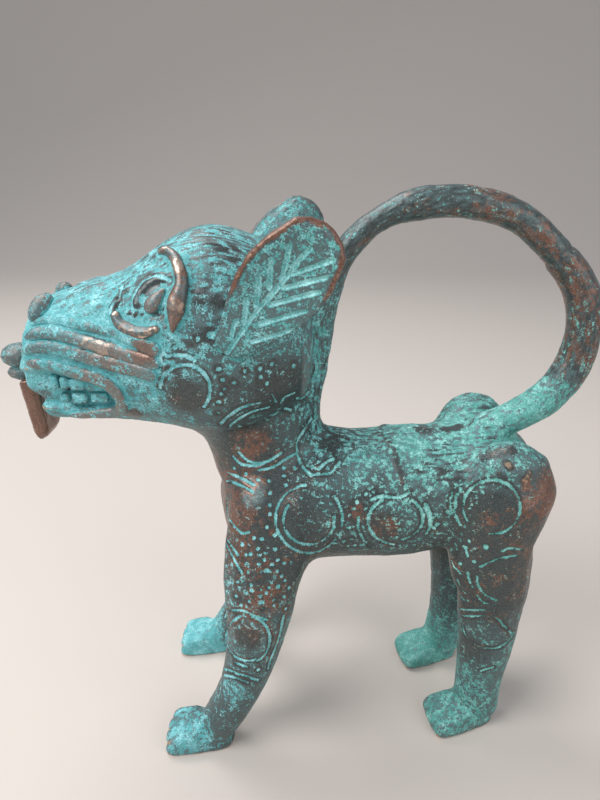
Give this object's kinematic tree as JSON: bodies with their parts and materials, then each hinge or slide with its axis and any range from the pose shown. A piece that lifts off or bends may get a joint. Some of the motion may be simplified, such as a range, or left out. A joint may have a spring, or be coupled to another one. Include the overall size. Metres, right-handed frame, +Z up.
{
  "type": "leopard figurine",
  "caption": "Cast bronze leopard standing on four paws, open mouth with hanging tongue, leaf-shaped ears, tail arched in a ring over the back to the nape.",
  "frame": {"origin": "on the ground, under the middle of the bounding box", "axes": "+Z up; the animal faces -X; its left side is -Y"},
  "size_m": [0.1222, 0.0486, 0.1238],
  "materials": {
    "patina": "cast bronze under a rough blue-green patina",
    "worn_bronze": "cast bronze with the patina rubbed off its high edges"
  },
  "bodies": {
    "root": {"trunk": "patina", "neck": "patina", "head": "patina", "tail_rear_length": "patina", "tail_front_length": "patina", "nose": "patina", "tongue": "worn_bronze", "left_front_leg": "patina", "left_hind_leg": "patina", "left_ear": "patina", "left_brow_rim": "worn_bronze", "left_lower_lid": "worn_bronze", "left_eyeball": "worn_bronze", "left_nostril": "patina", "left_lip": "worn_bronze", "left_upper_teeth": "patina", "left_lower_teeth": "patina", "left_whisker_1": "worn_bronze", "left_whisker_2": "worn_bronze", "left_whisker_3": "worn_bronze", "right_front_leg": "patina", "right_hind_leg": "patina", "right_ear": "patina", "right_brow_rim": "worn_bronze", "right_lower_lid": "worn_bronze", "right_eyeball": "worn_bronze", "right_nostril": "patina", "right_lip": "worn_bronze", "right_upper_teeth": "patina", "right_lower_teeth": "patina", "right_whisker_1": "worn_bronze", "right_whisker_2": "worn_bronze", "right_whisker_3": "worn_bronze"}
  },
  "joints": []
}
